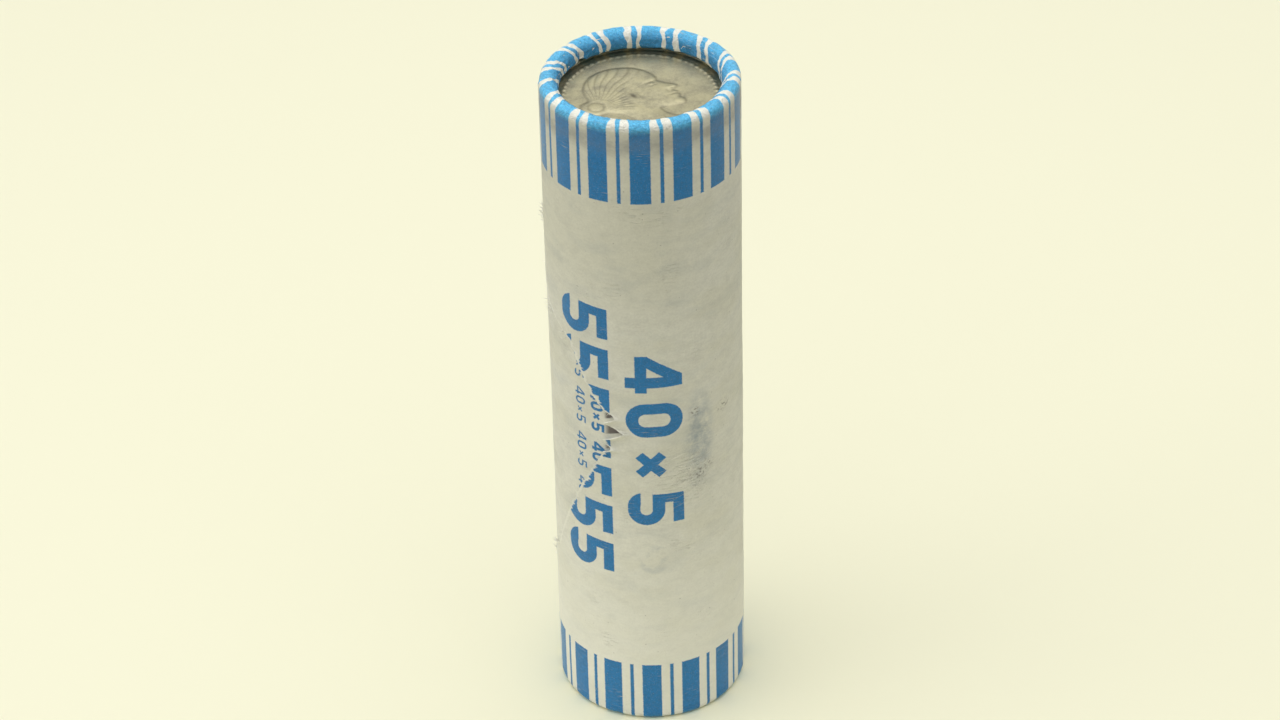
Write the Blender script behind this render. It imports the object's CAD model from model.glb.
"""Looks of a paper roll of coins: a wound, printed and crimped wrapper round forty struck coins."""

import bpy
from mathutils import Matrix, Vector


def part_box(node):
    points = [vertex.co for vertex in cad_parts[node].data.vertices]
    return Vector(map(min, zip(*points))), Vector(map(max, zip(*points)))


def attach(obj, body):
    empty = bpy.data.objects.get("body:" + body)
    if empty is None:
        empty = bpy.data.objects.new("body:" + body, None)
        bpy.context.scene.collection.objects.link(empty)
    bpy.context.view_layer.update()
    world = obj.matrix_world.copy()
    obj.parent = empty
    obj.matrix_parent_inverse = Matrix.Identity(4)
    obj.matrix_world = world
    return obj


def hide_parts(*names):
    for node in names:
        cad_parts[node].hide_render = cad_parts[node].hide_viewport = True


bl_info = {
    "name": "Coin Roll",
    "version": (1, 0, 0),
    "blender": (4, 5, 0),
    "location": "View3D > Sidebar > Coin Roll",
    "description": "Makes the wrapper, the struck coins and the stage of a paper coin roll",
    "category": "Object",
}

import math
import random
from functools import reduce
from types import SimpleNamespace

import bmesh
import bpy
from bpy.props import FloatProperty, FloatVectorProperty, IntProperty, PointerProperty
from mathutils import Matrix, Vector, kdtree, noise

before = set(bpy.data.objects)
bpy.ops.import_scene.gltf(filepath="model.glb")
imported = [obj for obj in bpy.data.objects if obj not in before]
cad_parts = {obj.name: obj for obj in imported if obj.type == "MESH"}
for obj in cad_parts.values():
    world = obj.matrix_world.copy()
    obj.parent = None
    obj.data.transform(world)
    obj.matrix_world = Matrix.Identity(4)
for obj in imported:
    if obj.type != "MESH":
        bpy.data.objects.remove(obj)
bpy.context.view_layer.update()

MM = 0.001
TURN = 2 * math.pi
# Polar angle of the side of the roll that faces the camera
FRONT = -math.pi / 2

WRAPPER = "wrapper"
COINS = sorted(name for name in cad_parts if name.startswith("coin_"))
TOP_COIN = COINS[0]
TOP_COIN_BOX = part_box(TOP_COIN)
COIN_RADIUS = (TOP_COIN_BOX[1].x - TOP_COIN_BOX[0].x) / 2
COIN_PITCH = (TOP_COIN_BOX[0].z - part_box(COINS[-1])[0].z) / (len(COINS) - 1)
ROLL_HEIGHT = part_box(WRAPPER)[1].z
ROLL_RADIUS = (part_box(WRAPPER)[1].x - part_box(WRAPPER)[0].x) / 2
# Height in millimetres at which the flat sheet has turned over into the top rim
CREST = ROLL_HEIGHT / MM

# Names of maps, attributes and a material that are looked up again
FLAT_MAP = "flat_sheet"
BAKE_MAP = "OFBake"
TORN = "torn"
GRIME = "grime"
WORN_METAL = "worn_metal"


def number(name, description, value, **kind):
    return FloatProperty(name=name, description=description, default=value, **kind)


def length(name, description, millimetres):
    return number(name, description, millimetres * MM, unit="LENGTH", precision=5)


def angle(name, description, degrees):
    return number(name, description, math.radians(degrees), subtype="ANGLE")


def colour(name, description, *screen):
    """A colour property whose default is given as it looks on screen, from 0 to 255."""
    default = [((c / 255 + 0.055) / 1.055) ** 2.4 for c in screen]
    return FloatVectorProperty(
        name=name, description=description, default=default, subtype="COLOR", size=3, min=0, max=1
    )


class SheetSettings(bpy.types.PropertyGroup):
    """The wound paper sheet, its crimped rims and its torn edge."""

    paper: length("Paper", "Thickness of the sheet", 0.1)
    turns: IntProperty(name="Turns", description="Full turns of the sheet round the coins", default=3)
    bore_room: length("Bore room", "Room between the coins and the paper", 0.1)
    seam: angle("Seam", "Where the cut edge runs down the roll, from the front", -88)
    top_rim: length("Top rim", "Height of the rolled rim on top", 2.35)
    top_shoulder: length("Top shoulder", "Rounding of the top rim's outer shoulder", 0.85)
    top_land: length("Top land", "Flat pressed into the top rim's crest", 0.05)
    base_rim: length("Base rim", "Height of the rolled rim at the base", 1.75)
    base_shoulder: length("Base shoulder", "Rounding of the base rim's outer shoulder", 0.8)
    base_land: length("Base land", "Flat that the roll stands on", 0.3)
    tail_gap: length("Tail gap", "Room between the curled tail and the wall", 0.1)
    tail_rise: length("Tail rise", "Straight end of the curled tail", 0.25)
    wave: length("Wave", "Broad waviness of the wound wall", 0.05)
    crumple: length("Crumple", "Small crumples of the handled paper", 0.016)
    coin_swell: length("Coin swell", "How far the coins' edges print through the paper", 0.008)
    pleat: length("Pleat", "Depth of the pleats gathered into the rims", 0.2)
    crease: length("Crease", "Depth of the crease that the crimping tool left under the top rim", 0.03)
    flare: length("Flare", "How far the torn edge lifts off the roll", 0.09)
    sag: length("Sag", "How far the top rim is pressed down at the back", 0.16)


class PrintSettings(bpy.types.PropertyGroup):
    """The print on the sheet and the colours of paper and ink."""

    paper_colour: colour("Paper colour", "Unprinted sheet", 231, 230, 216)
    ink_colour: colour("Ink colour", "Printing ink", 4, 120, 184)
    cracked_colour: colour("Cracked ink colour", "Ink stretched and cracked over the rims", 100, 206, 255)
    stain_colour: colour("Stain colour", "Yellowed clouds in the paper", 206, 202, 168)
    grime_colour: colour("Grime colour", "Scuffs and handling marks", 142, 142, 136)
    smudge_colour: colour("Smudge colour", "Smeared and set-off ink", 118, 138, 156)
    soil_colour: colour("Soil colour", "Dark pockets under the lifted lips of the tear", 78, 68, 70)
    speck_colour: colour("Speck colour", "Specks of dirt", 104, 92, 76)
    fibre_colour: colour("Fibre colour", "Torn fibres, burnished rims and clean paper", 250, 249, 236)
    top_band: length("Top band", "Height at which the upper striped band starts", 72.8)
    base_band: length("Base band", "Height at which the lower striped band ends", 8.3)
    period: length("Stripe period", "From one wide bar to the next", 4.73)
    wide_bar: length("Wide bar", "Width of the wide bars", 2.25)
    thin_bar: length("Thin bar", "Width of the thin bars", 0.42)


class CoinSettings(bpy.types.PropertyGroup):
    """The struck coins."""

    metal_colour: colour("Metal colour", "Worn coin metal", 178, 172, 147)
    tarnish_colour: colour("Tarnish colour", "Dulled metal", 140, 136, 121)
    dirt_colour: colour("Dirt colour", "Dirt in the hollows and on the rim", 58, 53, 46)
    rim: length("Rim", "Width of the raised rim", 0.9)
    field: length("Field", "Depth of the field below the rim", 0.22)
    rounding: length("Rounding", "Rounding of the plain edge", 0.16)
    relief: length("Relief", "Height of the struck head", 0.16)
    turn: angle("Turn", "Direction in which the head looks", 35)


class StageSettings(bpy.types.PropertyGroup):
    """Floor, light and camera."""

    floor_colour: colour("Floor colour", "Floor as the camera and the metal see it", 240, 238, 210)
    near_bounce: colour("Near bounce", "Floor round the roll, as it lights the roll", 246, 244, 220)
    far_bounce: colour("Far bounce", "Floor farther off, as it lights the roll", 168, 166, 149)
    bright_reach: length("Bright reach", "How far from the roll the floor lights it best", 100)
    backdrop_colour: colour("Backdrop colour", "What is seen behind the floor", 225, 223, 198)
    ambient: number("Ambient", "Strength of the even light from all round", 0.06)
    sky: number("Sky", "Strength of the very soft light straight above", 2.2)
    side: number("Side", "Strength of the weak far light from the left", 0.47)
    key_power: number("Key power", "Soft light overhead", 0.8, unit="POWER")
    distance: length("Camera distance", "From the camera to the point it looks at", 432.5)
    elevation: angle("Camera elevation", "Above the horizon", 35.28)
    aside: length("Aim aside", "Where the camera looks, to the side of the roll's axis", -0.71)
    aim: length("Aim height", "Height of the point that the camera looks at", 44.49)
    roll: angle("Camera roll", "Tilt of the camera about its own axis", -1.4)
    lens: length("Lens", "Focal length on a 36 mm sensor", 106.3)


SETTINGS = {
    "roll_sheet": SheetSettings,
    "roll_print": PrintSettings,
    "roll_coin": CoinSettings,
    "roll_stage": StageSettings,
}


class Value:
    """A node's output. Arithmetic on it adds Math nodes to its tree."""

    def __init__(self, wiring, socket):
        self.wiring = wiring
        self.socket = socket

    def __add__(self, other):
        return self.wiring.math("ADD", self, other)

    def __sub__(self, other):
        return self.wiring.math("SUBTRACT", self, other)

    def __rsub__(self, other):
        return self.wiring.math("SUBTRACT", other, self)

    def __mul__(self, other):
        return self.wiring.math("MULTIPLY", self, other)

    def __truediv__(self, other):
        return self.wiring.math("DIVIDE", self, other)

    def __abs__(self):
        return self.wiring.math("ABSOLUTE", self)

    __radd__ = __add__
    __rmul__ = __mul__


class Wiring:
    """Adds nodes to one tree and feeds them with values, plain numbers or colours."""

    def __init__(self, tree):
        self.tree = tree

    def feed(self, socket, value):
        if isinstance(value, Value):
            self.tree.links.new(value.socket, socket)
        elif socket.type == "RGBA":
            socket.default_value = (*value, 1)
        else:
            socket.default_value = value

    def values(self, sockets):
        """Output sockets as values, found by their place or their name."""
        found = [Value(self, socket) for socket in sockets]
        return dict(enumerate(found)) | {value.socket.name: value for value in found}

    def add(self, kind, inputs=None, **settings):
        """Adds a node and returns its outputs."""
        node = self.tree.nodes.new("ShaderNode" + kind)
        for name, value in settings.items():
            setattr(node, name, value)
        for name, value in (inputs or {}).items():
            self.feed(node.inputs[name], value)
        return self.values(node.outputs)

    def group(self, tree, **inputs):
        """Places a node group, with its inputs named with underscores for spaces."""
        named = {name.replace("_", " "): value for name, value in inputs.items()}
        return self.add("Group", named, node_tree=tree)

    def math(self, operation, *values):
        return self.add("Math", dict(enumerate(values)), operation=operation)[0]

    def least(self, *values):
        return reduce(lambda first, second: self.math("MINIMUM", first, second), values)

    def most(self, *values):
        return reduce(lambda first, second: self.math("MAXIMUM", first, second), values)

    def vector(self, operation, *values):
        found = self.add("VectorMath", dict(enumerate(values)), operation=operation)
        return found["Value" if operation == "LENGTH" else "Vector"]

    def parts(self, vector):
        found = self.add("SeparateXYZ", {0: vector})
        return found["X"], found["Y"]

    def point(self, x, y):
        return self.add("CombineXYZ", {0: x, 1: y})[0]

    def place(self):
        """Object coordinates in millimetres."""
        return self.vector("MULTIPLY", self.add("TexCoord")["Object"], (1 / MM,) * 3)

    def stretched(self, place, along, across):
        return self.vector("MULTIPLY", place, (along, across, 1))

    def turned(self, place, angle):
        return self.add("VectorRotate", {"Vector": place, "Angle": angle}, rotation_type="Z_AXIS")[0]

    def ramp(self, value, start, end, low=0, high=1):
        """Runs smoothly from low to high while a value runs from start to end."""
        inputs = {"Value": value, "From Min": start, "From Max": end, "To Min": low, "To Max": high}
        return self.add("MapRange", inputs, interpolation_type="SMOOTHSTEP")[0]

    def mix(self, share, first, second, blend="MIX"):
        return self.add("Mix", {0: share, 6: first, 7: second}, data_type="RGBA", blend_type=blend)[2]

    def noise(self, place, scale=1, detail=2, roughness=0.5):
        """Noise from 0 to 1: lumps per millimetre, the number of finer layers and their strength."""
        inputs = {"Vector": place, "Scale": scale, "Detail": detail, "Roughness": roughness}
        return self.add("TexNoise", inputs)["Fac"]

    def grey(self, value):
        return self.add("CombineColor", {0: value, 1: value, 2: value})[0]


def new_group(name, inputs, outputs):
    """An empty shader node group: its wiring, the values it is given and its output sockets."""
    tree = bpy.data.node_groups.new(name, "ShaderNodeTree")
    for in_out, sockets in (("INPUT", inputs), ("OUTPUT", outputs)):
        for label, kind in sockets.items():
            tree.interface.new_socket(label, in_out=in_out, socket_type="NodeSocket" + kind)
    w = Wiring(tree)
    given = w.values(tree.nodes.new("NodeGroupInput").outputs)
    return w, given, tree.nodes.new("NodeGroupOutput").inputs


def shared_group(name, make, *settings):
    """A node group that is made once and then found by its name."""
    return bpy.data.node_groups.get(name) or make(*settings)


def new_material(name):
    """A material with its wiring and its Principled shader."""
    material = bpy.data.materials.new(name)
    material.use_nodes = True
    return material, Wiring(material.node_tree), material.node_tree.nodes["Principled BSDF"].inputs


# The figures of the print

# Each figure is drawn in millimetres round the middle of its cell. A stroke is its centre, its angle in
# degrees and half its length and width. A ring is its centre, half its size along the middle of the line,
# its corner radius and half the line's width. A gap is a stroke that is taken out of the rings.
CAP_HEIGHT = 6.5
FIGURES = {
    "4": {
        "strokes": [
            ((1.0, 0), 90, 3.25, 0.72), ((-0.1, -1.45), 0, 2.5, 0.66), ((-0.59, 0.98), 55, 2.6, 0.66),
        ],
    },
    "0": {
        "rings": [((0, 0), (1.6, 2.53), 1.55, 0.72)],
    },
    "x": {
        "strokes": [((0, -0.5), 45, 1.9, 0.58), ((0, -0.5), -45, 1.9, 0.58)],
    },
    "5": {
        "strokes": [
            ((0.15, 2.6), 0, 2.0, 0.65), ((-1.35, 1.4), 88, 1.8, 0.6), ((-0.7, 0.3), 0, 1.2, 0.72),
        ],
        "rings": [((0, -1.12), (1.62, 1.42), 1.4, 0.72)],
        "gaps": [((-2.0, 0.35), 0, 1.3, 0.78), ((-1.65, -1.09), 0, 1.65, 0.67)],
    },
}
# The large figures that run down the front of the roll, and the smaller cells of the column beside them
FRONT_FIGURES = "40x5"
FRONT_START = 53.2
FRONT_CELL = 6.2
FRONT_MIDDLE = 0.75
COLUMN_FIGURE = "5"
COLUMN_START = 59.4
COLUMN_CELL = 5.45
COLUMN_COUNT = 7
COLUMN_MIDDLE = -7.6
# Rows of small figures on the layer underneath: middle and cap height of the row, where it starts and ends,
# and how far its lines are thinned, as a share of the cap height
SMALL_ROWS = ((-8.35, 1.5, 53.0, 31.0, 0.03), (-6.0, 1.7, 47.0, 35.0, 0.0))


def stroke_group():
    """Distance to a straight stroke with square ends."""
    inputs = {"Point": "Vector", "Centre": "Vector", "Angle": "Float", "Half Size": "Vector"}
    w, given, out = new_group("Printed Stroke", inputs, {"Distance": "Float"})
    upright = w.turned(w.vector("SUBTRACT", given["Point"], given["Centre"]), given["Angle"] * -1)
    beyond = w.vector("SUBTRACT", w.vector("ABSOLUTE", upright), given["Half Size"])
    w.feed(out["Distance"], w.most(*w.parts(beyond)))
    return w.tree


def ring_group():
    """Distance to a line bent into a rounded box."""
    inputs = dict.fromkeys(("Point", "Centre", "Half Size"), "Vector")
    inputs |= dict.fromkeys(("Corner", "Half Line"), "Float")
    w, given, out = new_group("Printed Ring", inputs, {"Distance": "Float"})
    from_centre = w.vector("ABSOLUTE", w.vector("SUBTRACT", given["Point"], given["Centre"]))
    corner = w.point(given["Corner"], given["Corner"])
    beyond = w.vector("SUBTRACT", from_centre, w.vector("SUBTRACT", given["Half Size"], corner))
    outside = w.vector("LENGTH", w.vector("MAXIMUM", beyond, (0, 0, 0)))
    inside = w.least(w.most(*w.parts(beyond)), 0)
    w.feed(out["Distance"], abs(outside + inside - given["Corner"]) - given["Half Line"])
    return w.tree


def to_ring(w, point, centre, half_size, corner, half_line):
    tree = shared_group("Printed Ring", ring_group)
    sizes = {"Half_Size": (*half_size, 0), "Corner": corner, "Half_Line": half_line}
    return w.group(tree, Point=point, Centre=(*centre, 0), **sizes)["Distance"]


def to_stroke(w, point, centre, degrees, half_length, half_width):
    tree = shared_group("Printed Stroke", stroke_group)
    sizes = {"Angle": math.radians(degrees), "Half_Size": (half_length, half_width, 0)}
    return w.group(tree, Point=point, Centre=(*centre, 0), **sizes)["Distance"]


def figure_group(figure):
    """Distance to one printed figure."""
    w, given, out = new_group("Figure " + figure, {"Point": "Vector"}, {"Distance": "Float"})
    point, drawing = given["Point"], FIGURES[figure]
    lines = [to_ring(w, point, *ring) for ring in drawing.get("rings", [])]
    for gap in drawing.get("gaps", []):
        lines = [w.most(line, to_stroke(w, point, *gap) * -1) for line in lines]
    lines += [to_stroke(w, point, *stroke) for stroke in drawing.get("strokes", [])]
    to_line = within(w.parts(point)[1], 0, CAP_HEIGHT / 2)
    w.feed(out["Distance"], w.most(w.least(*lines), to_line))
    return w.tree


def to_figure(w, figure, across, up):
    """Distance to a figure, from a place given along its line and up from the line's middle."""
    tree = shared_group("Figure " + figure, figure_group, figure)
    return w.group(tree, Point=w.point(across, up))["Distance"]


def within(value, middle, half):
    """Distance of a value to a stretch of a line."""
    return abs(value - middle) - half


def band_group(ink):
    """Distance to the wide and thin stripes of the two bands."""
    w, given, out = new_group("Striped Bands", {"Flat": "Vector"}, {"Distance": "Float"})
    along, height = w.parts(given["Flat"])
    half_period = ink.period / MM / 2
    # Gathering the sheet into a rim pulls the stripes a little to and fro
    pull = w.noise(w.stretched(given["Flat"], 0.5, 0.45), detail=1) - 0.5
    along += 1.5 * pull * w.ramp(height, CREST - 1.2, CREST + 1.5)
    # and twists them at both sides of the roll
    side = w.math("SINE", along / (ROLL_RADIUS / MM))
    along += 2.4 * side * side * w.ramp(height, CREST, CREST + 3.2)
    from_wide = w.math("PINGPONG", along + 0.2, half_period)
    wide = from_wide - ink.wide_bar / MM / 2
    thin = half_period - from_wide - ink.thin_bar / MM / 2
    # Curling it under squeezes the bare stripes between the bars
    bars = w.least(wide, thin) - w.ramp(height, CREST - 0.6, CREST + 1.6, 0, 0.2)
    to_band = w.least(ink.top_band / MM - height, height - ink.base_band / MM)
    w.feed(out["Distance"], w.most(bars, to_band))
    return w.tree


def outer_print(w, flat, ink):
    """Distance to the print on the outer turn: striped bands, large figures and a column of figures."""
    along, height = w.parts(flat)
    bands = w.group(band_group(ink), Flat=flat)["Distance"]
    figures = [
        to_figure(w, figure, FRONT_START - FRONT_CELL * (place + 0.5) - height, along - FRONT_MIDDLE)
        for place, figure in enumerate(FRONT_FIGURES)
    ]
    run = COLUMN_START - height
    across = w.math("FLOORED_MODULO", run, COLUMN_CELL) - COLUMN_CELL / 2
    column = to_figure(w, COLUMN_FIGURE, across, along - COLUMN_MIDDLE)
    half_column = COLUMN_CELL * COLUMN_COUNT / 2
    return w.least(bands, *figures, w.most(column, within(run, half_column, half_column)))


def inner_print(w, flat):
    """Distance to the rows of small figures on the layer underneath."""
    along, height = w.parts(flat)
    return w.least(*(small_row(w, along, height, *row) for row in SMALL_ROWS))


def small_row(w, along, height, middle, cap, start, end, thinned):
    """Distance to the large figures set small and repeated down a row."""
    scale = CAP_HEIGHT / cap
    run = w.math("FLOORED_MODULO", (start - height) * scale, COLUMN_CELL * (len(FRONT_FIGURES) + 1))
    up = (along - middle) * scale
    figures = [
        to_figure(w, figure, run - COLUMN_CELL * (place + 0.5), up)
        for place, figure in enumerate(FRONT_FIGURES)
    ]
    to_row = within(height, (start + end) / 2, (start - end) / 2)
    return w.most(w.least(*figures) / scale + thinned * cap, to_row)


# The worn sheet

# Marks on the flat sheet: their middle, along from the front and up, and half their size, in millimetres
SMUDGE = ((6.1, 40.5, 0), (2.6, 8.0, 1))
SCRAPE = ((4.6, 35.5, 0), (5.4, 6.5, 1))
FLECKS = (
    ((5.5, 44.0, 0), (1.0, 1.0, 1)), ((5.8, 35.2, 0), (2.0, 1.5, 1)), ((7.3, 36.4, 0), (1.0, 1.1, 1)),
    ((9.7, 43.1, 0), (1.4, 1.2, 1)),
)
# A faint ring printed off another roll, given as the figures' rings are
GHOST_RING = ((0.4, 24.1), (1.15, 1.6), 1.1, 0.4)
HAIRLINE_SLANT = -0.35
# The crease under the top rim, and the middle of the soil that gathers below it
CREASE_HEIGHT = 80.95
CREASE_SOIL = CREASE_HEIGHT - 0.8


def near(w, flat, mark):
    """1 in the middle of a mark on the flat sheet, 0 at its edge."""
    middle, half_size = mark
    off = w.vector("DIVIDE", w.vector("SUBTRACT", flat, middle), half_size)
    return w.ramp(w.vector("LENGTH", off), 1, 0.2)


def sheet_wear(w, flat):
    """The patterns that more than one part of the sheet's look follows."""
    along, height = w.parts(flat)
    return SimpleNamespace(
        along=along,
        height=height,
        grain=w.noise(flat, 3.6, 4, 0.7),
        streak=w.noise(w.stretched(flat, 0.7, 2.6), 1, 3, 0.6),
        cloud=w.noise(w.stretched(flat, 0.12, 0.2), 1, 3, 0.55),
        patch=w.noise(w.stretched(flat, 0.3, 0.55), 1, 5, 0.7),
        rim=w.most(w.ramp(height, CREST - 1.5, CREST - 0.2), w.ramp(height, 1.6, 0)),
        scratch=scratches(w, flat),
    )


def scratches(w, flat):
    """Fine scratches round the roll where it was rubbed, with slanted hairlines in the scrape."""
    scrape = near(w, flat, SCRAPE)
    rubbed = w.most(scrape, w.ramp(w.noise(flat, 0.22), 0.54, 0.66, 0, 0.6))
    fine = w.ramp(w.noise(w.stretched(flat, 0.6, 8)), 0.58, 0.68)
    slanted = w.stretched(w.turned(flat, HAIRLINE_SLANT), 0.22, 6)
    hairline = w.ramp(w.noise(slanted, detail=1), 0.6, 0.67)
    return w.most(fine * rubbed, hairline * scrape)


def specks(w, flat):
    """Specks of dirt in loose clusters."""
    cells = w.add("TexVoronoi", {"Vector": flat, "Scale": 1.5})
    chosen = w.math("GREATER_THAN", w.parts(cells["Color"])[0], 0.72)
    cluster = w.most(w.ramp(w.noise(flat, 0.3), 0.44, 0.6), near(w, flat, SCRAPE))
    return w.ramp(cells["Distance"], 0.14, 0.06) * chosen * cluster


def bare_paper(w, flat, ink, wear):
    """Colour of the unprinted sheet, with each kind of wear laid over the ones before."""
    mottle = w.noise(flat, 0.9, 5, 0.65)
    tone = 1 + 0.22 * (wear.grain - 0.5) + 0.12 * (wear.streak - 0.5) + 0.24 * (mottle - 0.5)
    aged = w.ramp(wear.height, 52, 66, 0, 0.28) * w.ramp(wear.along, 9, 0)
    set_off = w.noise(w.stretched(flat, 0.12, 0.26), 1.3, 3)
    smudged = w.ramp(w.noise(flat, 0.6, 6, 0.72), 0.3, 0.66, 0, 0.6)
    ghost = w.ramp(to_ring(w, flat, *GHOST_RING), 0.3, -0.2)
    flecked = w.ramp(w.noise(flat, 3, 3, 0.6), 0.5, 0.64, 0, 0.7)
    layers = [
        (w.most(aged, w.ramp(wear.cloud, 0.4, 0.66, 0, 0.18)), ink.stain_colour),
        (w.ramp(wear.patch, 0.48, 0.74, 0, 0.12), ink.grime_colour),
        (w.ramp(set_off, 0.48, 0.72, 0, 0.11), ink.smudge_colour),
        (w.most(wear.rim, w.ramp(wear.height, 36, 8, 0, 0.45)), ink.fibre_colour),
        (near(w, flat, SMUDGE) * smudged, ink.smudge_colour),
        (ghost * w.ramp(w.noise(flat, 0.7, 3), 0.42, 0.62, 0, 0.16), ink.smudge_colour),
        (0.5 * specks(w, flat), ink.speck_colour),
        *((near(w, flat, mark) * flecked, ink.speck_colour) for mark in FLECKS),
        (0.6 * wear.scratch, ink.fibre_colour),
    ]
    paper = w.mix(1, ink.paper_colour, w.grey(tone), "MULTIPLY")
    for share, tint in layers:
        paper = w.mix(share, paper, tint)
    return paper


def ink_cover(w, flat, wear, printed, bared):
    """Share of ink over the paper: ragged at its edges, with pinholes, and worn off where the sheet is."""
    ragged = 0.2 * (w.noise(flat, 5, 3, 0.7) - 0.5)
    pinholes = w.ramp(w.noise(flat, 8), 0.6, 0.74, 0, 0.3)
    cover = 0.98 * w.ramp(printed + ragged, 0.05, -0.05)
    return cover * (1 - pinholes) * (1 - 0.6 * wear.scratch) * (1 - 0.85 * bared)


def ink_layer(w, flat, ink, wear):
    """Colour of the mottled ink, which cracks where the sheet turns over into the rims."""
    tone = 0.97 + 1.3 * (w.noise(flat, 2.2, 5, 0.8) - 0.5) + 0.25 * (wear.cloud - 0.5)
    bent = w.most(w.ramp(wear.height, CREST - 1.4, CREST - 0.3), w.ramp(wear.height, 0.8, -0.4))
    bent *= w.ramp(wear.height, CREST + 2.4, CREST + 0.5, 0.3, 1)
    cracked = bent * w.ramp(w.noise(flat, 2.6, 4, 0.75), 0.4, 0.54, 0.62, 1)
    layer = w.mix(cracked, ink.ink_colour, ink.cracked_colour)
    return w.mix(1, layer, w.grey(tone), "MULTIPLY")


def kraft_group(ink):
    """Worn, printed kraft paper: colour, roughness and height in millimetres over the flat sheet."""
    inputs = {"Flat": "Vector", "Print": "Float", "Torn": "Float", "Soil": "Float"}
    outputs = {"Color": "Color", "Roughness": "Float", "Height": "Float"}
    w, given, out = new_group("Kraft Sheet", inputs, outputs)
    flat = given["Flat"]
    wear = sheet_wear(w, flat)
    fray = 0.9 * (w.noise(w.stretched(flat, 1.6, 4), 1, 3) - 0.5)
    bared = w.ramp(fray + given["Torn"], 0.28, 0.5)
    cover = ink_cover(w, flat, wear, given["Print"], bared)
    crease = w.ramp(abs(wear.height - CREASE_SOIL), 2, 0) * w.ramp(wear.patch, 0.35, 0.6, 0.3, 0.6)
    sheet = w.mix(cover, bare_paper(w, flat, ink, wear), ink_layer(w, flat, ink, wear))
    sheet = w.mix(crease * (1 - 0.65 * cover), sheet, ink.grime_colour)
    sheet = w.mix(0.5 * bared, sheet, ink.fibre_colour)
    w.feed(out["Color"], w.mix(given["Soil"], sheet, ink.soil_colour))
    w.feed(out["Roughness"], 0.82 - 0.48 * cover + 0.3 * (wear.grain - 0.5))
    crinkle = w.noise(flat, 2.6, 4, 0.65) * (0.035 + 0.36 * wear.rim)
    w.feed(out["Height"], crinkle + 0.012 * wear.streak + 0.016 * wear.grain + 0.09 * wear.scratch)
    return w.tree


def notch_soil(w, flat, sheet):
    """Dark pockets on the layer underneath: wedges that narrow to the tips of the tear's nicks."""
    along, height = w.parts(flat)
    wedges = []
    for middle, half, depth in NICKS:
        tip = TEAR_DEPTH + depth + sheet.seam * roll_radius(sheet) / MM
        from_tip = (tip + 0.1 - along) / depth
        wedge = 0.62 * half * from_tip - abs(height - (middle + 0.12 * half))
        wedges.append(w.ramp(wedge, -0.06, 0.1) * w.ramp(from_tip, 1.15, 0.75))
    return 0.85 * w.most(*wedges)


def sheet_material(name, ink, printed, soiled=None):
    """Printed paper on the flat map of a sheet."""
    material, w, shader = new_material(name)
    flat = w.add("UVMap", uv_map=FLAT_MAP)["UV"]
    torn = w.add("Attribute", attribute_name=TORN)["Fac"]
    soil = soiled(w, flat) if soiled else 0
    kraft = shared_group("Kraft Sheet", kraft_group, ink)
    sheet = w.group(kraft, Flat=flat, Print=printed(w, flat), Torn=torn, Soil=soil)
    bump = w.add("Bump", {"Height": sheet["Height"], "Strength": 0.9, "Distance": MM})
    w.feed(shader["Base Color"], sheet["Color"])
    w.feed(shader["Roughness"], sheet["Roughness"])
    w.feed(shader["Normal"], bump["Normal"])
    w.feed(shader["Specular IOR Level"], 0.3)
    return material


def fibre_material(ink):
    """Pale torn fibres."""
    material, w, shader = new_material("torn_fibre")
    grey = w.ramp(w.noise(w.place(), 3), 0.3, 0.7)
    w.feed(shader["Base Color"], w.mix(grey, ink.fibre_colour, ink.paper_colour))
    w.feed(shader["Roughness"], 0.9)
    return material


def coin_material(coin):
    """The coins' metal, which is made once."""
    return bpy.data.materials.get(WORN_METAL) or worn_metal(coin)


def worn_metal(coin):
    """Worn coin metal with fine scratches two ways and dull patches."""
    material, w, shader = new_material(WORN_METAL)
    place = w.place()
    grain = w.noise(place, 5, 4, 0.7)
    dull = w.noise(place, 0.45, 6, 0.72)
    one_way = w.noise(w.stretched(place, 0.6, 9))
    other_way = w.noise(w.stretched(w.turned(place, 1.1), 0.5, 11))
    scratch = w.most(w.ramp(one_way, 0.62, 0.8), w.ramp(other_way, 0.64, 0.8))
    patch = w.ramp(0.3 * grain + dull, 0.5, 0.85)
    grime = w.add("Attribute", attribute_name=GRIME)["Fac"]
    metal = w.mix(patch, coin.metal_colour, coin.tarnish_colour)
    bump = w.add("Bump", {"Height": 0.012 * grain - 0.01 * scratch, "Strength": 0.8, "Distance": MM})
    w.feed(shader["Base Color"], w.mix(0.75 * grime, metal, coin.dirt_colour))
    w.feed(shader["Roughness"], 0.36 + 0.16 * w.most(patch, grime) + 0.12 * scratch)
    w.feed(shader["Normal"], bump["Normal"])
    w.feed(shader["Metallic"], 1)
    return material


# The wound sheet, with lengths in millimetres

# Angle from one end of a turn round to its other end, which leaves the seam a little open
FULL_TURN = TURN - 0.0005
# The tear in the outer turn: height up the roll and reach in from the cut edge
TEAR_OUTLINE = (
    (19.0, 0.0), (21.0, 2.9), (28.5, 6.2), (34.0, 9.0), (39.0, 11.7),
    (44.5, 11.9), (47.0, 10.0), (52.5, 7.3), (54.0, 4.6), (55.2, 2.4), (57.4, 1.0), (58.6, 0.0),
)
# Sharp nicks at the deepest part of the tear: height, half height and added reach
NICKS = ((43.9, 0.8, 1.4), (41.9, 1.1, 2.4), (39.6, 0.5, 1.2))
TEAR_DEPTH = 11.8
# Between these heights the sheet has finer rows
TEAR_LOW = TEAR_OUTLINE[0][0] - 1
TEAR_HIGH = TEAR_OUTLINE[-1][0] + 1
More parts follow.
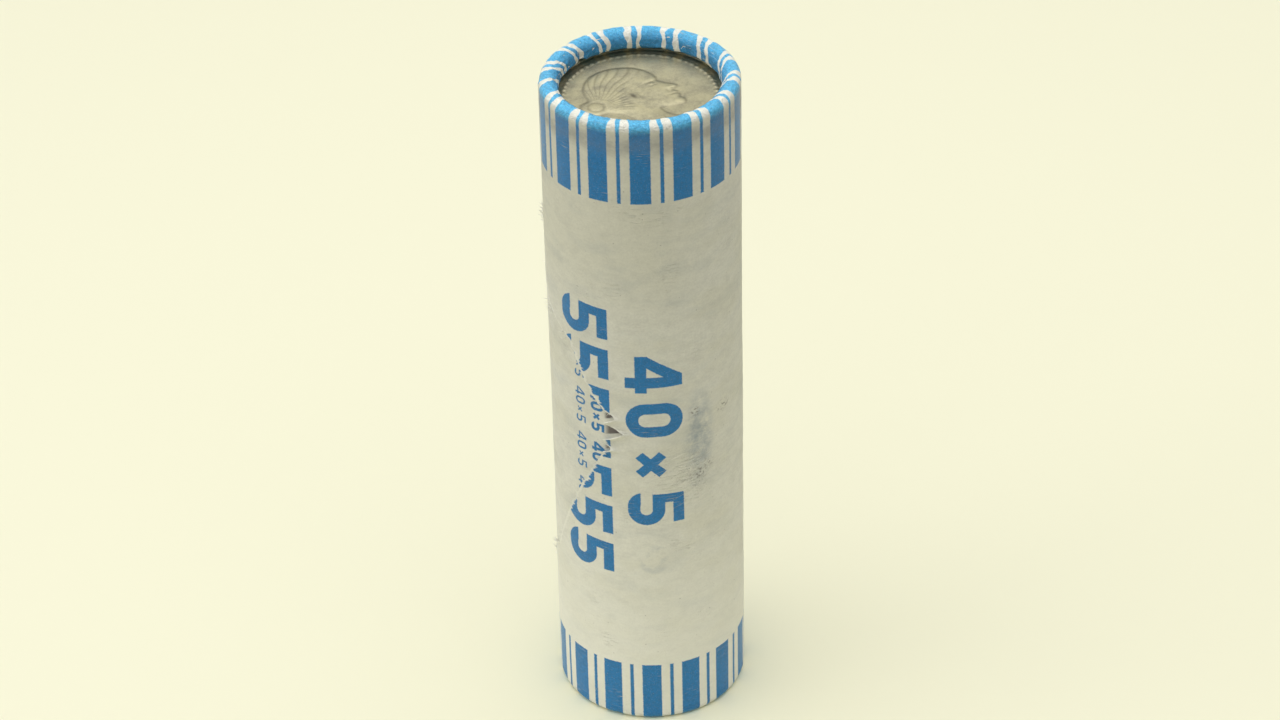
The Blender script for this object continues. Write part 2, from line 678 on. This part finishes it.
# Tufts of fibres on the cut edge: height and number of fibres, and the size and spread of them all
TUFTS = ((66.0, 9), (64.5, 8), (54.6, 22), (52.8, 9), (20.6, 18), (17.5, 6))
TUFT_SIZE = 1.9
TUFT_SPREAD = 0.4
# Loose fibres along the tear, and one fibre's root in the paper, its steps and how far it narrows at each
FIBRE_SEED = 40
FIBRE_COUNT = 110
FIBRE_ROOT = 0.1
FIBRE_STEPS = 3
FIBRE_TAPER = 0.72
# How far from the cut edge its lift fades, and from a shoulder the pleats deepen
LIFT_REACH = 0.8
PLEAT_REACH = 2.2
# Where the top rim is pinched into a fold, round the roll from the front, and its depth and width
RIM_FOLD = math.radians(-131)
FOLD_DEPTH = 0.4
FOLD_WIDTH = 0.45
# Width of the crease under the top rim, and the depth and reach of a dent at its front
CREASE_WIDTH = 0.4
DENT_DEPTH = 0.1
DENT_REACH = 0.8
# Left edge and width of the outer skin on the baking map, and of the rest
SKIN_PART = (0.005, 0.69)
REST_PART = (0.705, 0.29)
MAP_MARGIN = 0.005
# Share of each rounding that is cut, so that two roundings never meet on an edge
ROUNDING_SHARE = 0.999
SHARP_EDGE = math.radians(42)


def roll_radius(sheet):
    return COIN_RADIUS + sheet.bore_room + sheet.turns * sheet.paper


def winding(sheet, turn):
    """How far the outer turn stands off the mean radius, this far round from its cut edge."""
    return sheet.paper * (0.75 - turn / TURN)


def torn_reach(height):
    """Reach of the tear in from the cut edge at a height, both in millimetres."""
    reach = 0.0
    for (low, start), (high, end) in zip(TEAR_OUTLINE, TEAR_OUTLINE[1:]):
        if low <= height < high:
            reach = start + (end - start) * (height - low) / (high - low)
    for middle, half, depth in NICKS:
        reach += depth * max(0.0, 1 - abs(height - middle) / half)
    rough = 0.3 * noise.noise((height * 1.3, 0, 5)) + 0.16 * noise.noise((height * 5, 0, 9))
    return max(0.0, reach + rough) if reach else 0.05 + 0.04 * noise.noise((height * 2, 0, 3))


def tear_share(height):
    """1 within the tear's height and 0 away from it, in millimetres."""
    return float(TEAR_OUTLINE[0][0] < height < TEAR_OUTLINE[-1][0])


def edge_lift(sheet, height):
    """How far the torn edge stands off the roll at a height in millimetres."""
    lift = 0.15 + tear_share(height) * (0.2 + 1.2 * max(0.0, noise.noise((height * 0.8, 2, 0))))
    for middle, half, _ in NICKS:
        lift += 5.5 * math.exp(-(((height - middle + half * 0.6) / (half * 0.6)) ** 2))
    return sheet.flare * lift


def sheet_relief(sheet, around, height):
    """How far the handled sheet stands off its form, at an angle round the roll and a height."""
    radius = roll_radius(sheet) / MM
    spot = Vector((radius * math.cos(around), radius * math.sin(around), height / MM))
    over = max(height - (ROLL_HEIGHT - sheet.top_shoulder), sheet.base_shoulder - height, 0.0) / MM
    rim = min(1.0, over / PLEAT_REACH)
    swell = math.cos(TURN * (height - TOP_COIN_BOX[0].z) / COIN_PITCH)
    print_through = 0.5 + noise.noise(spot * 0.2)
    found = sheet.wave * noise.noise(spot * 0.11)
    found += sheet.crumple * (noise.noise(spot * 0.55) + 0.4 * noise.noise(spot * 1.7))
    found -= sheet.coin_swell * swell * print_through * (1 - rim)
    circle = Vector((math.cos(around), math.sin(around), 0.4 * over))
    gather = 0.5 * noise.noise(circle * 6) + 0.6 * noise.noise(circle * 17)
    found += sheet.pleat * rim * gather
    from_fold = math.remainder(around - FRONT - RIM_FOLD, TURN) * radius + 0.25 * (height / MM - CREST)
    found -= FOLD_DEPTH * MM * rim * math.exp(-((from_fold / FOLD_WIDTH) ** 2))
    above_crease = height / MM - CREASE_HEIGHT
    pressed = sheet.crease * (0.6 + 0.8 * noise.noise(circle * 3))
    found -= pressed * math.exp(-((above_crease / CREASE_WIDTH) ** 2))
    from_dent = math.hypot(radius * (around - FRONT + 0.02), above_crease - 0.1)
    return found - DENT_DEPTH * MM * math.exp(-((from_dent / DENT_REACH) ** 2))


def rolled_corners(sheet, inset):
    """Corners of the sheet's section as radius, height and rounding, from the top tail to the base tail."""
    wall = roll_radius(sheet) - inset
    tail = roll_radius(sheet) - sheet.turns * sheet.paper - sheet.tail_gap - inset

    def rim(crest, inward, rim_height, shoulder, land):
        lip = rim_height / 2
        mouth = roll_radius(sheet) - shoulder - land - lip + inset
        over, under = crest + inward * inset, crest + inward * (rim_height - inset)
        return [
            (tail, under - inward * sheet.tail_rise * 2, 0),
            (tail, under, sheet.tail_rise),
            (mouth, under, lip * 0.5 - inset),
            (mouth, over, lip - inset),
            (wall, over, shoulder - inset),
        ]

    top = rim(ROLL_HEIGHT, -1, sheet.top_rim, sheet.top_shoulder, sheet.top_land)
    base = rim(0, 1, sheet.base_rim, sheet.base_shoulder, sheet.base_land)
    tear = [(wall, TEAR_HIGH * MM, 0), (wall, TEAR_LOW * MM, 0)]
    return top + tear + base[::-1]


def rounded_wire(bm, corners, segments):
    """Wire through corners given as radius, height and rounding, and its points before they are rounded."""
    points = [bm.verts.new((radius, 0, height)) for radius, height, _ in corners]
    for pair in zip(points, points[1:]):
        bm.edges.new(pair)
    for point, (_, _, rounding) in zip(points, corners):
        if rounding:
            bmesh.ops.bevel(
                bm, geom=[point], offset=rounding, offset_type="OFFSET", segments=segments,
                profile=0.5, affect="VERTICES", material=-1,
            )
    return points


def rolled_path(bm, flat, sheet, inset, row, torn_row):
    """Wire along the sheet's section, with its rows stored as heights on the flat sheet."""
    corners = rolled_corners(sheet, inset)
    rounded_wire(bm, [(x, z, rounding * ROUNDING_SHARE) for x, z, rounding in corners], segments=8)
    bmesh.ops.remove_doubles(bm, verts=bm.verts[:], dist=0.01 * MM)
    for edge in list(bm.edges):
        middle = (edge.verts[0].co.z + edge.verts[1].co.z) / 2 / MM
        spacing = torn_row if TEAR_LOW < middle < TEAR_HIGH else row
        cuts = int(edge.calc_length() / spacing)
        if cuts:
            bmesh.ops.subdivide_edges(bm, edges=[edge], cuts=cuts)
    ends = [point for point in bm.verts if len(point.link_edges) == 1]
    here, passed, run = max(ends, key=lambda point: point.co.z), None, 0.0
    while here:
        here[flat] = -run
        ahead = [edge for edge in here.link_edges if edge != passed]
        passed = ahead[0] if ahead else None
        run += passed.calc_length() if passed else 0.0
        here = passed.other_vert(here) if passed else None
    wall = max(bm.verts, key=lambda point: point.co.x)
    shift = wall.co.z - wall[flat]
    for point in bm.verts:
        point[flat] += shift


def wound_sheet(sheet, inset, thickness, columns, row, torn_row, start_of, lift_of, crowd):
    """A closed turn of the sheet, wound from its start at each height, with maps of the flat sheet."""
    bm = bmesh.new()
    flat, turned, torn = (bm.verts.layers.float.new(name) for name in ("height", "turned", TORN))
    place, baked = (bm.loops.layers.uv.new(name) for name in (FLAT_MAP, BAKE_MAP))
    rolled_path(bm, flat, sheet, inset, row, torn_row)
    wire = bm.verts[:] + bm.edges[:]
    bmesh.ops.spin(bm, geom=wire, cent=(0, 0, 0), axis=(0, 0, 1), angle=FULL_TURN, steps=columns)
    bmesh.ops.recalc_face_normals(bm, faces=bm.faces[:])
    bm.normal_update()
    for point in bm.verts:
        wound = math.atan2(point.co.y, point.co.x) % TURN
        out = Vector((math.cos(wound), math.sin(wound), 0))
        across, up = point.normal.dot(out), point.normal.z
        height = point[flat]
        start = start_of(height / MM) * MM / roll_radius(sheet)
        turn = start + (FULL_TURN - start) * (wound / FULL_TURN) ** crowd
        from_edge = (turn - start) * roll_radius(sheet) / MM
        around = FRONT + sheet.seam + turn
        lift = lift_of(height / MM) * math.exp(-from_edge / LIFT_REACH)
        stand = sheet_relief(sheet, around, height) + lift
        radius = point.co.xy.length + winding(sheet, turn) + across * stand
        at_back = (1 - math.cos(around - FRONT)) / 2
        pressed = at_back * max(0.0, 1 - (ROLL_HEIGHT - point.co.z) / sheet.top_rim)
        level = point.co.z + up * stand - sheet.sag * pressed
        point.co = (radius * math.cos(around), radius * math.sin(around), max(0, level))
        point[turned] = turn
        frayed = 0.3 + 0.35 * max(0.0, noise.noise((height * 0.9 / MM, 7, 0)))
        point[torn] = math.exp(-from_edge / frayed) * tear_share(height / MM) if start else 0.0
        point.normal = across * Vector((math.cos(around), math.sin(around), 0)) + Vector((0, 0, up))
    skin = set(bm.faces)
    made = bmesh.ops.extrude_face_region(bm, geom=bm.faces[:], use_keep_orig=True)
    for item in made["geom"]:
        if isinstance(item, bmesh.types.BMVert):
            item.co -= item.normal * thickness
    bmesh.ops.recalc_face_normals(bm, faces=bm.faces[:])
    heights = [point[flat] for point in bm.verts]
    low, high = min(heights), max(heights)
    for face in bm.faces:
        left, width = SKIN_PART if face in skin else REST_PART
        for corner in face.loops:
            turn, height = corner.vert[turned], corner.vert[flat]
            share = (height - low) / (high - low)
            corner[place].uv = ((turn + sheet.seam) * roll_radius(sheet) / MM, height / MM)
            corner[baked].uv = (left + width * turn / TURN, MAP_MARGIN + (1 - 2 * MAP_MARGIN) * share)
    return bm


def add_object(name, data):
    made = bpy.data.objects.new(name, data)
    bpy.context.scene.collection.objects.link(made)
    return made


def add_mesh(name, bm, material):
    """Makes a bmesh an object at the origin."""
    mesh = bpy.data.meshes.new(name)
    bm.to_mesh(mesh)
    bm.free()
    mesh.materials.append(material)
    return add_object(name, mesh)


def add_piece(name, bm, material, body, node):
    """Makes a bmesh a smooth-shaded piece that rides on a body and stands for a CAD node."""
    for face in bm.faces:
        face.smooth = True
    for edge in bm.edges:
        edge.smooth = edge.calc_face_angle(0) < SHARP_EDGE
    piece = add_mesh(name, bm, material)
    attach(piece, body)
    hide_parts(node)


class COINROLL_OT_outer_turn(bpy.types.Operator):
    """Winds the outermost turn of the sheet, crimped at both ends and torn along its edge"""

    bl_idname = "coin_roll.outer_turn"
    bl_label = "Outer Turn"

    def execute(self, context):
        sheet, ink = context.scene.roll_sheet, context.scene.roll_print
        bm = wound_sheet(
            sheet, inset=0, thickness=sheet.paper * 0.9, columns=160, row=0.8 * MM, torn_row=0.24 * MM,
            start_of=torn_reach, lift_of=lambda height: edge_lift(sheet, height), crowd=1.3,
        )
        material = sheet_material("printed_paper", ink, lambda w, flat: outer_print(w, flat, ink))
        add_piece("wrapper_outer_turn", bm, material, WRAPPER, WRAPPER)
        return {"FINISHED"}


class COINROLL_OT_inner_turns(bpy.types.Operator):
    """Winds the turns of the sheet that lie under the outermost one and show through its tear"""

    bl_idname = "coin_roll.inner_turns"
    bl_label = "Inner Turns"

    def execute(self, context):
        sheet, ink = context.scene.roll_sheet, context.scene.roll_print
        bm = wound_sheet(
            sheet, inset=sheet.paper, thickness=sheet.paper * (sheet.turns - 1), columns=144, row=1.0 * MM,
            torn_row=0.5 * MM, start_of=lambda height: 0.0, lift_of=lambda height: 0.0, crowd=1.0,
        )
        material = sheet_material(
            "inner_paper", ink, inner_print, soiled=lambda w, flat: notch_soil(w, flat, sheet)
        )
        add_piece("wrapper_inner_turns", bm, material, WRAPPER, WRAPPER)
        return {"FINISHED"}


class COINROLL_OT_torn_fibres(bpy.types.Operator):
    """Frays the torn edge with loose paper fibres"""

    bl_idname = "coin_roll.torn_fibres"
    bl_label = "Torn Fibres"

    def execute(self, context):
        sheet, ink = context.scene.roll_sheet, context.scene.roll_print
        draw = random.Random(FIBRE_SEED)
        bm = bmesh.new()
        for _ in range(FIBRE_COUNT):
            add_fibre(bm, sheet, draw, draw.uniform(TEAR_OUTLINE[0][0], TEAR_OUTLINE[-1][0]), 1)
        for middle, count in TUFTS:
            for _ in range(count):
                add_fibre(bm, sheet, draw, middle + draw.gauss(0, TUFT_SPREAD), TUFT_SIZE)
        bmesh.ops.recalc_face_normals(bm, faces=bm.faces[:])
        add_piece("wrapper_torn_fibres", bm, fibre_material(ink), WRAPPER, WRAPPER)
        return {"FINISHED"}


def add_fibre(bm, sheet, draw, height, size):
    """One tapered fibre that leaves the torn edge at a height and bends off the roll."""
    turn = torn_reach(height) * MM / roll_radius(sheet)
    around = FRONT + sheet.seam + turn
    out = Vector((math.cos(around), math.sin(around), 0))
    back = Vector((math.sin(around), -math.cos(around), 0))
    stand = sheet_relief(sheet, around, height * MM) + edge_lift(sheet, height)
    root = out * (roll_radius(sheet) + winding(sheet, turn) + stand - sheet.paper / 2)
    root.z = height * MM
    reach = size * draw.uniform(0.15, 0.6) * MM
    thickness = size * draw.uniform(0.014, 0.034) * MM
    lean = draw.uniform(-0.7, 0.7)
    rise = draw.uniform(0.0, 1.1)
    pitch = (back + Vector((0, 0, lean)) + out * 0.2).normalized()
    facing = pitch.to_track_quat("Z", "Y").to_matrix().to_4x4()
    start = Matrix.Translation(root - pitch * FIBRE_ROOT * MM) @ facing
    made = bmesh.ops.create_circle(bm, cap_ends=True, segments=4, radius=thickness, matrix=start)
    tip = made["verts"][0].link_faces[0]
    for step in range(FIBRE_STEPS):
        made = bmesh.ops.extrude_face_region(bm, geom=[tip])
        tip = next(item for item in made["geom"] if isinstance(item, bmesh.types.BMFace))
        along = (pitch + out * rise * (step + 1) / FIBRE_STEPS).normalized()
        stride = reach / FIBRE_STEPS + (FIBRE_ROOT * MM if step == 0 else 0)
        bmesh.ops.translate(bm, verts=tip.verts[:], vec=along * stride)
        middle = tip.calc_center_median()
        bmesh.ops.scale(bm, verts=tip.verts[:], vec=(FIBRE_TAPER,) * 3, space=Matrix.Translation(-middle))


# The struck coins

# The head is drawn in eighths of its own height, chin to crown, as a share of the field's radius
HEAD_UNIT = 0.135
# A plain profile with brow, nose and chin at equal thirds of the face, from the crown round to the nape
HEAD_OUTLINE = (
    (-0.4, 4.9), (1.3, 4.3), (2.3, 3.2), (2.62, 2.1), (2.6, 1.35), (2.42, 0.85), (2.85, 0.1), (3.3, -0.6),
    (2.95, -0.95), (2.62, -1.1), (2.78, -1.45), (2.58, -1.66), (2.7, -1.95), (2.45, -2.3), (2.58, -2.85),
    (2.15, -3.4), (1.0, -3.15), (0.15, -2.8), (0.15, -3.9), (0.75, -5.2), (-0.9, -5.95), (-3.5, -5.3),
    (-2.75, -3.6), (-2.9, -2.1), (-3.9, -0.9), (-5.0, -0.7), (-5.5, 0.4), (-5.0, 1.5), (-4.1, 1.7),
    (-3.5, 3.3), (-2.1, 4.6),
)
OUTLINE_STEPS = 12
# Soft swellings and hollows of the head: middle, half width and half height, and how far each stands out
HEAD_FORMS = (
    (1.8, 1.38, 0.6, 0.2, 0.14), (1.7, 0.98, 0.5, 0.1, -0.15), (1.72, 0.7, 0.34, 0.17, 0.18),
    (1.68, 0.44, 0.4, 0.09, -0.1), (1.9, 0.72, 0.1, 0.12, -0.14), (1.1, -0.4, 0.9, 0.7, 0.14),
    (2.5, -0.6, 0.26, 0.24, 0.14), (2.72, -0.8, 0.14, 0.09, -0.14), (2.12, -0.95, 0.12, 0.34, -0.07),
    (2.3, -1.65, 0.44, 0.08, -0.17), (2.3, -2.3, 0.4, 0.12, -0.06), (0.3, -2.0, 1.0, 0.7, 0.1),
    (-0.75, -0.1, 0.46, 0.78, 0.24), (-0.64, 0.02, 0.2, 0.44, -0.24), (-0.2, -0.15, 0.12, 0.6, -0.1),
    (-1.2, -4.2, 0.5, 1.5, 0.12), (-0.4, -4.4, 0.3, 1.3, -0.06),
)
# Circles round the hair, the part of the face that it leaves free and the knot: middle and radius
HAIR = ((-0.7, 1.5), 3.7)
HAIRLINE = ((2.7, -1.2), 3.9)
HAIR_KNOT = ((-4.2, 0.4), 1.3)
LOCKS = 44
# The ring of beads: their number, the ring's share of the field's radius, and a bead's radius in millimetres
BEAD_COUNT = 66
BEAD_CIRCLE = 0.87
BEAD_RADIUS = 0.3
# Roundings at the foot and on top of the rim's inner wall, in millimetres, and how dirty the rim is
FOOT_ROUNDING = 0.1
RIM_ROUNDING = 0.12
RIM_GRIME = 0.2


def smooth_outline(corners, steps):
    """A closed curve through the corners: a tree of its points, and their outward normals."""
    count = len(corners)
    tree, normals = kdtree.KDTree(count * steps), []
    for start in range(count):
        before, here, after, beyond = (Vector(corners[(start + k) % count]) for k in (-1, 0, 1, 2))
        for step in range(steps):
            t = step / steps
            bend = 2 * before - 5 * here + 4 * after - beyond
            twist = 3 * (here - after) + beyond - before
            place = here + 0.5 * t * (after - before + t * (bend + t * twist))
            along = 0.5 * (after - before) + t * bend + 1.5 * t * t * twist
            tree.insert(place.to_3d(), len(normals))
            normals.append(Vector((-along.y, along.x, 0)))
    tree.balance()
    return tree, normals


def inside_circle(x, y, circle):
    (cx, cy), radius = circle
    return radius - math.hypot(x - cx, y - cy)


def head_relief(x, y, outline):
    """Height of a plain head in profile over its field, from 0 to about 1, and the dirt in its hollows."""
    tree, normals = outline
    place = Vector((x, y, 0))
    nearest, index, depth = tree.find(place)
    dirt = 0.55 * math.exp(-((depth / 0.16) ** 2))
    if (place - nearest).dot(normals[index]) > 0:
        return 0.0, dirt
    form = 0.62 * math.sqrt(1 - (1 - min(1.0, depth / 1.3)) ** 2)
    for cx, cy, half_width, half_height, stand in HEAD_FORMS:
        swell = stand * math.exp(-(((x - cx) / half_width) ** 2) - ((y - cy) / half_height) ** 2)
        form += swell
        dirt = max(dirt, -4 * swell)
    knot = inside_circle(x, y, HAIR_KNOT)
    hair = max(min(inside_circle(x, y, HAIR), -inside_circle(x, y, HAIRLINE)), knot)
    if hair > 0:
        (cx, cy), _ = HAIR_KNOT
        from_knot = math.hypot(x - cx, y - cy)
        strand = LOCKS * math.atan2(y - cy, x - cx) + 1.5 * math.sin(1.4 * from_knot)
        lock = math.sin(7 * from_knot if knot > 0 else strand)
        share = min(1.0, hair / 0.4)
        form += share * (0.12 + 0.06 * lock)
        dirt = max(dirt, 0.45 * share * max(0.0, -lock) ** 2)
    return form, dirt


class COINROLL_OT_struck_coin(bpy.types.Operator):
    """Strikes the coin that shows in the open end of the roll"""

    bl_idname = "coin_roll.struck_coin"
    bl_label = "Struck Coin"

    def execute(self, context):
        coin = context.scene.roll_coin
        low, high = TOP_COIN_BOX
        radius, field = COIN_RADIUS, COIN_RADIUS - coin.rim
        bm = bmesh.new()
        grime = bm.verts.layers.float.new(GRIME)
        half = [
            (0, coin.field, 0), (field - coin.field, coin.field, FOOT_ROUNDING * MM),
            (field, 0, RIM_ROUNDING * MM), (radius, 0, coin.rounding),
        ]
        corners = [(x, low.z + inward, rounding) for x, inward, rounding in half]
        corners += [(x, high.z - inward, rounding) for x, inward, rounding in half[::-1]]
        points = rounded_wire(bm, corners, segments=4)
        bmesh.ops.subdivide_edges(bm, edges=points[-1].link_edges[:], cuts=84)
        wire = bm.verts[:] + bm.edges[:]
        bmesh.ops.spin(
            bm, geom=wire, cent=(0, 0, 0), axis=(0, 0, 1), angle=TURN, steps=300, use_merge=True
        )
        bmesh.ops.remove_doubles(bm, verts=bm.verts[:], dist=0.001 * MM)
        bmesh.ops.recalc_face_normals(bm, faces=bm.faces[:])
        strike(bm, grime, coin, field, high.z - coin.field)
        add_piece("coin_01_struck", bm, coin_material(coin), TOP_COIN, TOP_COIN)
        return {"FINISHED"}


def strike(bm, grime, coin, field, level):
    """Raises the head and the beads from the upper field, with dirt in the hollows and on the rim."""
    unit = field * HEAD_UNIT
    outline = smooth_outline(HEAD_OUTLINE, OUTLINE_STEPS)
    for point in bm.verts:
        point[grime] = RIM_GRIME * (point.co.xy.length > field - 1.2 * coin.field)
    face = [point for point in bm.verts if abs(point.co.z - level) < 0.001 * MM]
    for point in face:
        around = math.atan2(point.co.y, point.co.x)
        out = point.co.xy.length
        x, y = out * math.cos(around - coin.turn) / unit, out * math.sin(around - coin.turn) / unit
        head, dirt = head_relief(x, y, outline)
        bead_turn = (around * BEAD_COUNT / TURN) % 1 - 0.5
        from_bead = math.hypot(bead_turn * TURN * out / BEAD_COUNT, out - field * BEAD_CIRCLE)
        beside = from_bead / (BEAD_RADIUS * MM)
        bead = 0.55 * math.sqrt(max(0.0, 1 - beside**2))
        # A thin film of dirt on the field, thicker towards one side of the coin
        film = max(0.0, 0.13 - 0.2 * point.co.y / field) * max(0.0, 1 - 3 * head)
        point[grime] = max(dirt, film, 0.4 * math.exp(-(((beside - 1.1) / 0.3) ** 2)))
        point.co.z += coin.relief * max(head, bead)
    for _ in range(2):
        bmesh.ops.smooth_vert(bm, verts=face, factor=0.5, use_axis_z=True)


class COINROLL_OT_stacked_coins(bpy.types.Operator):
    """Gives the coins under the top one their metal"""

    bl_idname = "coin_roll.stacked_coins"
    bl_label = "Stacked Coins"

    def execute(self, context):
        metal = coin_material(context.scene.roll_coin)
        for name in COINS[1:]:
            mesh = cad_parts[name].data
            mesh.materials.clear()
            mesh.materials.append(metal)
        return {"FINISHED"}


# The stage

# Where the two far lights shine to, and how wide they are in the sky
SKY_AIM = (0, 0, -1)
SKY_WIDTH = math.radians(110)
SIDE_AIM = (0.6, 0.1, -0.27)
SIDE_WIDTH = math.radians(45)
# Place and size of the lamp overhead, in metres
KEY_PLACE = Vector((-0.05, -0.01, 0.42))
KEY_SIZE = 0.6
# The floor's radius in metres, and how far it lies under the roll, in millimetres
FLOOR_RADIUS = 4
FLOOR_DROP = 0.02


class COINROLL_OT_stage(bpy.types.Operator):
    """Sets the roll on a plain floor in soft light, in front of the camera"""

    bl_idname = "coin_roll.stage"
    bl_label = "Stage"

    def execute(self, context):
        stage = context.scene.roll_stage
        context.scene.view_settings.view_transform = "Standard"
        lay_floor(stage)
        light_world(context.scene, stage)
        add_light("sky", "SUN", stage.sky, SKY_AIM, angle=SKY_WIDTH)
        add_light("side", "SUN", stage.side, SIDE_AIM, angle=SIDE_WIDTH)
        to_middle = Vector((0, 0, ROLL_HEIGHT / 2)) - KEY_PLACE
        key = add_light("key", "AREA", stage.key_power, to_middle, size=KEY_SIZE)
        key.location = KEY_PLACE
        point_camera(context.scene, stage)
        return {"FINISHED"}


def seen_directly(w):
    """1 on rays from the camera and on reflected and refracted ones, 0 on light that bounces."""
    path = w.add("LightPath")
    return w.most(path["Is Camera Ray"], path["Is Glossy Ray"], path["Is Transmission Ray"])


def lay_floor(stage):
    """A plain round floor, which lights the roll most from nearby."""
    bm = bmesh.new()
    under = Matrix.Translation((0, 0, -FLOOR_DROP * MM))
    bmesh.ops.create_circle(bm, cap_ends=True, segments=96, radius=FLOOR_RADIUS, matrix=under)
    material, w, shader = new_material("floor_paint")
    off = w.vector("LENGTH", w.add("TexCoord")["Object"])
    far = w.ramp(off, stage.bright_reach * 0.8, stage.bright_reach * 1.4)
    bounce = w.mix(far, stage.near_bounce, stage.far_bounce)
    w.feed(shader["Base Color"], w.mix(seen_directly(w), bounce, stage.floor_colour))
    w.feed(shader["Roughness"], 0.85)
    w.feed(shader["Specular IOR Level"], 0.2)
    floor = add_mesh("floor", bm, material)


def light_world(scene, stage):
    """Even light from all round, with a pale backdrop for the camera and for reflections."""
    scene.world = bpy.data.worlds.new("surroundings")
    scene.world.use_nodes = True
    scene.world.node_tree.nodes.clear()
    w = Wiring(scene.world.node_tree)
    even = w.add("Background", {"Color": (1, 1, 1), "Strength": stage.ambient})[0]
    backdrop = w.add("Background", {"Color": stage.backdrop_colour, "Strength": 1})[0]
    w.add("OutputWorld", {"Surface": w.add("MixShader", {0: seen_directly(w), 1: even, 2: backdrop})[0]})


def add_light(name, kind, strength, aim, **settings):
    """A soft light that shines along a direction."""
    lamp = bpy.data.lights.new(name, kind)
    lamp.energy = strength
    for setting, value in settings.items():
        setattr(lamp, setting, value)
    holder = add_object(name, lamp)
    holder.rotation_euler = Vector(aim).to_track_quat("-Z", "Y").to_euler()
    return holder


def point_camera(scene, stage):
    """A camera that looks down at the roll's front, tilted a little about its own axis."""
    lens = bpy.data.cameras.new("camera")
    lens.lens = stage.lens / MM
    lens.clip_start = 0.01
    scene.camera = add_object("camera", lens)
    aim = Matrix.Translation((stage.aside, 0, stage.aim))
    down = Matrix.Rotation(math.pi / 2 - stage.elevation, 4, "X")
    tilt = Matrix.Rotation(stage.roll, 4, "Z")
    scene.camera.matrix_world = aim @ down @ tilt @ Matrix.Translation((0, 0, stage.distance))


class COINROLL_PT_panel(bpy.types.Panel):
    """The roll's settings and the steps that make it"""

    bl_idname = "COINROLL_PT_panel"
    bl_label = "Coin Roll"
    bl_space_type = "VIEW_3D"
    bl_region_type = "UI"
    bl_category = "Coin Roll"

    def draw(self, context):
        for step in STEPS:
            self.layout.operator(step.bl_idname)
        for group in SETTINGS:
            box = self.layout.box()
            for name in SETTINGS[group].__annotations__:
                box.prop(getattr(context.scene, group), name)


STEPS = (
    COINROLL_OT_stage,
    COINROLL_OT_outer_turn,
    COINROLL_OT_inner_turns,
    COINROLL_OT_torn_fibres,
    COINROLL_OT_struck_coin,
    COINROLL_OT_stacked_coins,
)
CLASSES = (*SETTINGS.values(), *STEPS, COINROLL_PT_panel)


def register():
    for cls in CLASSES:
        bpy.utils.register_class(cls)
    for group, cls in SETTINGS.items():
        setattr(bpy.types.Scene, group, PointerProperty(type=cls))


def unregister():
    for group in SETTINGS:
        delattr(bpy.types.Scene, group)
    for cls in reversed(CLASSES):
        bpy.utils.unregister_class(cls)


def main():
    register()
    bpy.ops.coin_roll.stage()
    bpy.ops.coin_roll.outer_turn()
    bpy.ops.coin_roll.inner_turns()
    bpy.ops.coin_roll.torn_fibres()
    bpy.ops.coin_roll.struck_coin()
    bpy.ops.coin_roll.stacked_coins()


if __name__ == "__main__":
    main()
